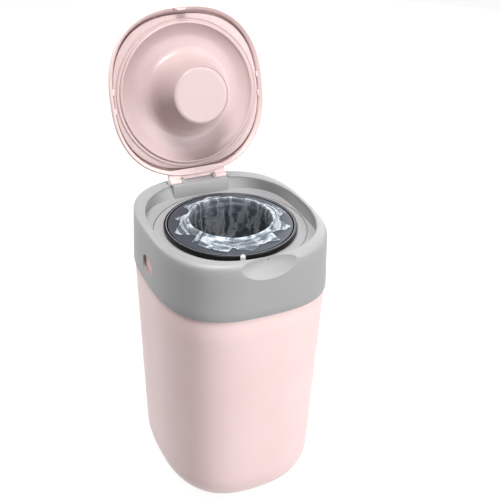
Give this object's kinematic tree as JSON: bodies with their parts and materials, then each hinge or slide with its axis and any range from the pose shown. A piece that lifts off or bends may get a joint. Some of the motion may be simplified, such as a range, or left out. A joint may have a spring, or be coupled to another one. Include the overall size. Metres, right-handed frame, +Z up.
{
  "type": "nappy bin",
  "caption": "Upright nappy bin with a hinged plunger lid, a lift-off collar and a turntable that twists film from a lift-out refill cassette.",
  "frame": {"origin": "middle of the rubber base pad's underside, on the floor, on the tub's vertical middle line", "axes": "+Z up; front with the finger scoop towards -Y, lid hinge towards +Y; +X is to the right seen from the front"},
  "size_m": [0.2364, 0.3244, 0.643],
  "materials": {
    "pink_shell": "satin moulded plastic, pale pink",
    "pink_lid": "satin moulded plastic, pale pink",
    "pink_panel": "smooth moulded plastic, pale pink",
    "pink_tab": "satin moulded plastic, pale pink",
    "lid_seal": "soft elastomer, pale pink",
    "grey_shell": "satin moulded plastic, light grey",
    "grey_deck": "fine matt moulded plastic, light grey",
    "grey_inner": "matt moulded plastic, grey",
    "natural_plastic": "natural acetal",
    "black_gloss": "glossy black plastic",
    "slate": "dark slate plastic, fine grain",
    "film": "thin crinkled translucent film",
    "gripper": "soft dark elastomer",
    "rubber": "grey rubber",
    "steel": "zinc-plated steel",
    "cutter_red": "red moulded plastic"
  },
  "bodies": {
    "tub": {"tub": "pink_shell", "base_pad": "rubber", "release_spring_left": "steel", "release_spring_right": "steel"},
    "release_left": {"release_tab_left": "pink_tab"},
    "release_right": {"release_tab_right": "pink_tab"},
    "collar": {"collar": "grey_shell", "carrier": "grey_inner", "carrier_screws": "steel", "gripper_fingers": "gripper", "gripper_clamp": "grey_inner", "clamp_screws": "steel", "click_pawl": "natural_plastic", "hinge_pins": "steel", "cutter_rail": "grey_inner"},
    "cutter": {"cutter_slider": "cutter_red", "cutter_blade": "steel"},
    "turntable": {"turntable": "grey_deck", "turntable_clip_ring": "natural_plastic", "locating_peg": "grey_deck"},
    "cassette": {"cassette_box": "black_gloss", "cassette_cap": "slate", "film_pack": "film", "film_liner": "film"},
    "lid": {"lid_shell": "pink_lid", "lid_panel": "pink_panel", "lid_seal": "lid_seal", "lid_catch": "pink_panel"}
  },
  "joints": [
    {"name": "collar_lift", "type": "slide", "parent": "tub", "child": "collar", "axis": [0, 0, 1], "range_m": [0, 0.15]},
    {"name": "lid_hinge", "type": "hinge", "parent": "collar", "child": "lid", "pos_m": [0, 0.11, 0.414], "axis": [1, 0, 0], "range_deg": [0, 106]},
    {"name": "turntable_turn", "type": "hinge", "parent": "collar", "child": "turntable", "pos_m": [0, -0.0077, 0.396], "axis": [0, 0, 1], "continuous": true},
    {"name": "cassette_lift", "type": "slide", "parent": "turntable", "child": "cassette", "axis": [0, 0, -1], "range_m": [-0.15, 0]},
    {"name": "release_left_press", "type": "slide", "parent": "tub", "child": "release_left", "axis": [1, 0, 0], "range_m": [0, 0.0025], "stiffness_N_per_m": 600, "springref_m": -0.002, "deforming": ["release_spring_left"]},
    {"name": "release_right_press", "type": "slide", "parent": "tub", "child": "release_right", "axis": [-1, 0, 0], "range_m": [0, 0.0025], "stiffness_N_per_m": 600, "springref_m": -0.002, "deforming": ["release_spring_right"]},
    {"name": "cutter_slide", "type": "slide", "parent": "collar", "child": "cutter", "axis": [1, 0, 0], "range_m": [0, 0.044]}
  ]
}
